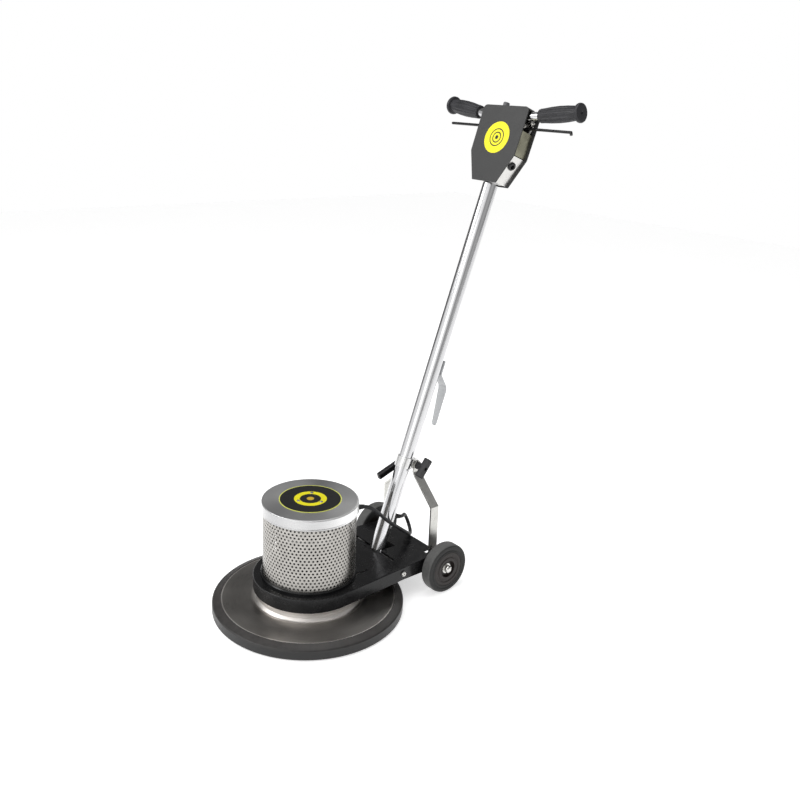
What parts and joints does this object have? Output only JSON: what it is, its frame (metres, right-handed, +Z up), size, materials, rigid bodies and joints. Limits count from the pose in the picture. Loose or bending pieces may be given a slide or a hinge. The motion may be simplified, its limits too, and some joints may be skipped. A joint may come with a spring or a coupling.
{
  "type": "floor burnisher",
  "caption": "Walk-behind floor burnisher: round spun deck with rubber bumper, perforated motor housing, wheeled chassis, tilting chrome handle with switch head and grips.",
  "frame": {"origin": "on the floor under the centre of the round deck and its motor", "axes": "+Z up, +Y from the motor towards the operator, +X towards the right-hand wheel seen from the front"},
  "size_m": [0.462, 0.8428, 1.2094],
  "materials": {
    "deck_steel": "satin",
    "bumper_rubber": "matt",
    "pad_fibre": "coarse",
    "driver_plastic": "matt",
    "black_paint": "gloss",
    "plain_steel": "satin",
    "cast_alloy": "cast",
    "ferrite": "matt",
    "copper": "drawn",
    "carbon": "matt",
    "sleeve_steel": "satin",
    "cap_steel": "satin",
    "label_film": "gloss",
    "black_plastic": "satin",
    "lead_rubber": "matt",
    "tube_chrome": "polished",
    "clamp_alloy": "polished",
    "zinc_steel": "zinc plated",
    "tyre_rubber": "matt",
    "hub_plastic": "satin",
    "hook_paint": "satin",
    "head_paint": "satin",
    "head_alloy": "brushed",
    "emblem_film": "gloss",
    "grip_rubber": "ribbed",
    "switch_plastic": "satin"
  },
  "bodies": {
    "chassis": {"deck_housing": "deck_steel", "bumper": "bumper_rubber", "chassis_plate": "black_paint", "cover_base_ring": "black_paint", "motor_lower_bell": "cast_alloy", "motor_shell": "black_paint", "motor_magnets": "ferrite", "motor_upper_bell": "cast_alloy", "motor_brushes": "carbon", "shaft_bearings": "plain_steel", "rectifier": "cast_alloy", "motor_bolts": "plain_steel", "perforated_cover": "sleeve_steel", "cover_cap": "cap_steel", "cap_bridge": "plain_steel", "cap_label": "label_film", "cap_screws": "plain_steel", "lead_gland": "black_plastic", "pivot_bolts": "plain_steel", "wheel_axle": "plain_steel", "axle_spacers": "plain_steel", "wheel_nuts": "plain_steel", "motor_lead": "lead_rubber"},
    "rotor": {"floor_pad": "pad_fibre", "pad_driver": "driver_plastic", "pad_lock": "driver_plastic", "driver_bolt": "plain_steel", "armature_core": "plain_steel", "armature_windings": "copper", "commutator": "copper", "armature_shaft": "plain_steel", "cooling_fan": "driver_plastic"},
    "handle": {"handle_tube": "tube_chrome", "pivot_tube": "plain_steel", "lead_grommet": "black_plastic", "cord_hook": "hook_paint", "head_front_cover": "head_paint", "head_rear_cover": "head_paint", "head_emblem": "emblem_film", "head_side_panels": "head_alloy", "power_cord_gland": "black_plastic", "head_yoke": "plain_steel", "handlebar": "tube_chrome", "grips": "grip_rubber", "lever_pin": "plain_steel", "power_switch": "switch_plastic", "handle_screws": "plain_steel"},
    "collar": {"clamp_collar": "clamp_alloy", "clamp_washers": "plain_steel", "clamp_bolt": "plain_steel"},
    "knob": {"t_knob": "black_plastic"},
    "cam": {"cam_lever": "black_plastic"},
    "brace": {"brace_right": "zinc_steel", "brace_left": "zinc_steel"},
    "wheel_left": {"wheel_tyre_left": "tyre_rubber", "wheel_hub_left": "hub_plastic"},
    "wheel_right": {"wheel_tyre_right": "tyre_rubber", "wheel_hub_right": "hub_plastic"},
    "lever": {"switch_lever": "black_paint"},
    "button": {"safety_button": "switch_plastic"}
  },
  "joints": [
    {"name": "rotor_spin", "type": "hinge", "parent": "chassis", "child": "rotor", "pos_m": [0, 0, 0.1], "axis": [0, 0, 1], "continuous": true},
    {"name": "handle_tilt", "type": "hinge", "parent": "chassis", "child": "handle", "pos_m": [0, 0.1965, 0.076], "axis": [-1, 0, 0], "range_deg": [-8, 16], "deforming": ["motor_lead"]},
    {"name": "collar_slide", "type": "slide", "parent": "handle", "child": "collar", "axis": [0, 0.3272, 0.9449], "range_m": [-0.0178, 0.0356]},
    {"name": "brace_swing", "type": "hinge", "parent": "collar", "child": "brace", "pos_m": [0, 0.31516, 0.29948], "axis": [-1, 0, 0], "range_deg": [-1.3, 2.6]},
    {"name": "knob_turn", "type": "hinge", "parent": "collar", "child": "knob", "pos_m": [0, 0.31516, 0.29948], "axis": [1, 0, 0], "continuous": true},
    {"name": "cam_open", "type": "hinge", "parent": "collar", "child": "cam", "pos_m": [-0.0312, 0.31516, 0.29948], "axis": [0, 0.3296, -0.9441], "range_deg": [0, 100]},
    {"name": "wheel_left_spin", "type": "hinge", "parent": "chassis", "child": "wheel_left", "pos_m": [-0.1383, 0.3175, 0.0635], "axis": [1, 0, 0], "continuous": true},
    {"name": "wheel_right_spin", "type": "hinge", "parent": "chassis", "child": "wheel_right", "pos_m": [0.1383, 0.3175, 0.0635], "axis": [1, 0, 0], "continuous": true},
    {"name": "lever_squeeze", "type": "hinge", "parent": "handle", "child": "lever", "pos_m": [0, 0.58561, 1.1355], "axis": [-1, 0, 0], "range_deg": [0, 20], "stiffness_Nm_per_rad": 0.6, "springref_deg": -11.46},
    {"name": "button_press", "type": "slide", "parent": "handle", "child": "button", "axis": [0, -0.3272, -0.9449], "range_m": [0, 0.005], "stiffness_N_per_m": 300, "springref_m": -0.002}
  ],
  "couplings": [
    {"joint": "collar_slide", "follows": "handle_tilt", "m_per_rad": 0.127},
    {"joint": "brace_swing", "follows": "handle_tilt", "ratio": 0.16}
  ]
}
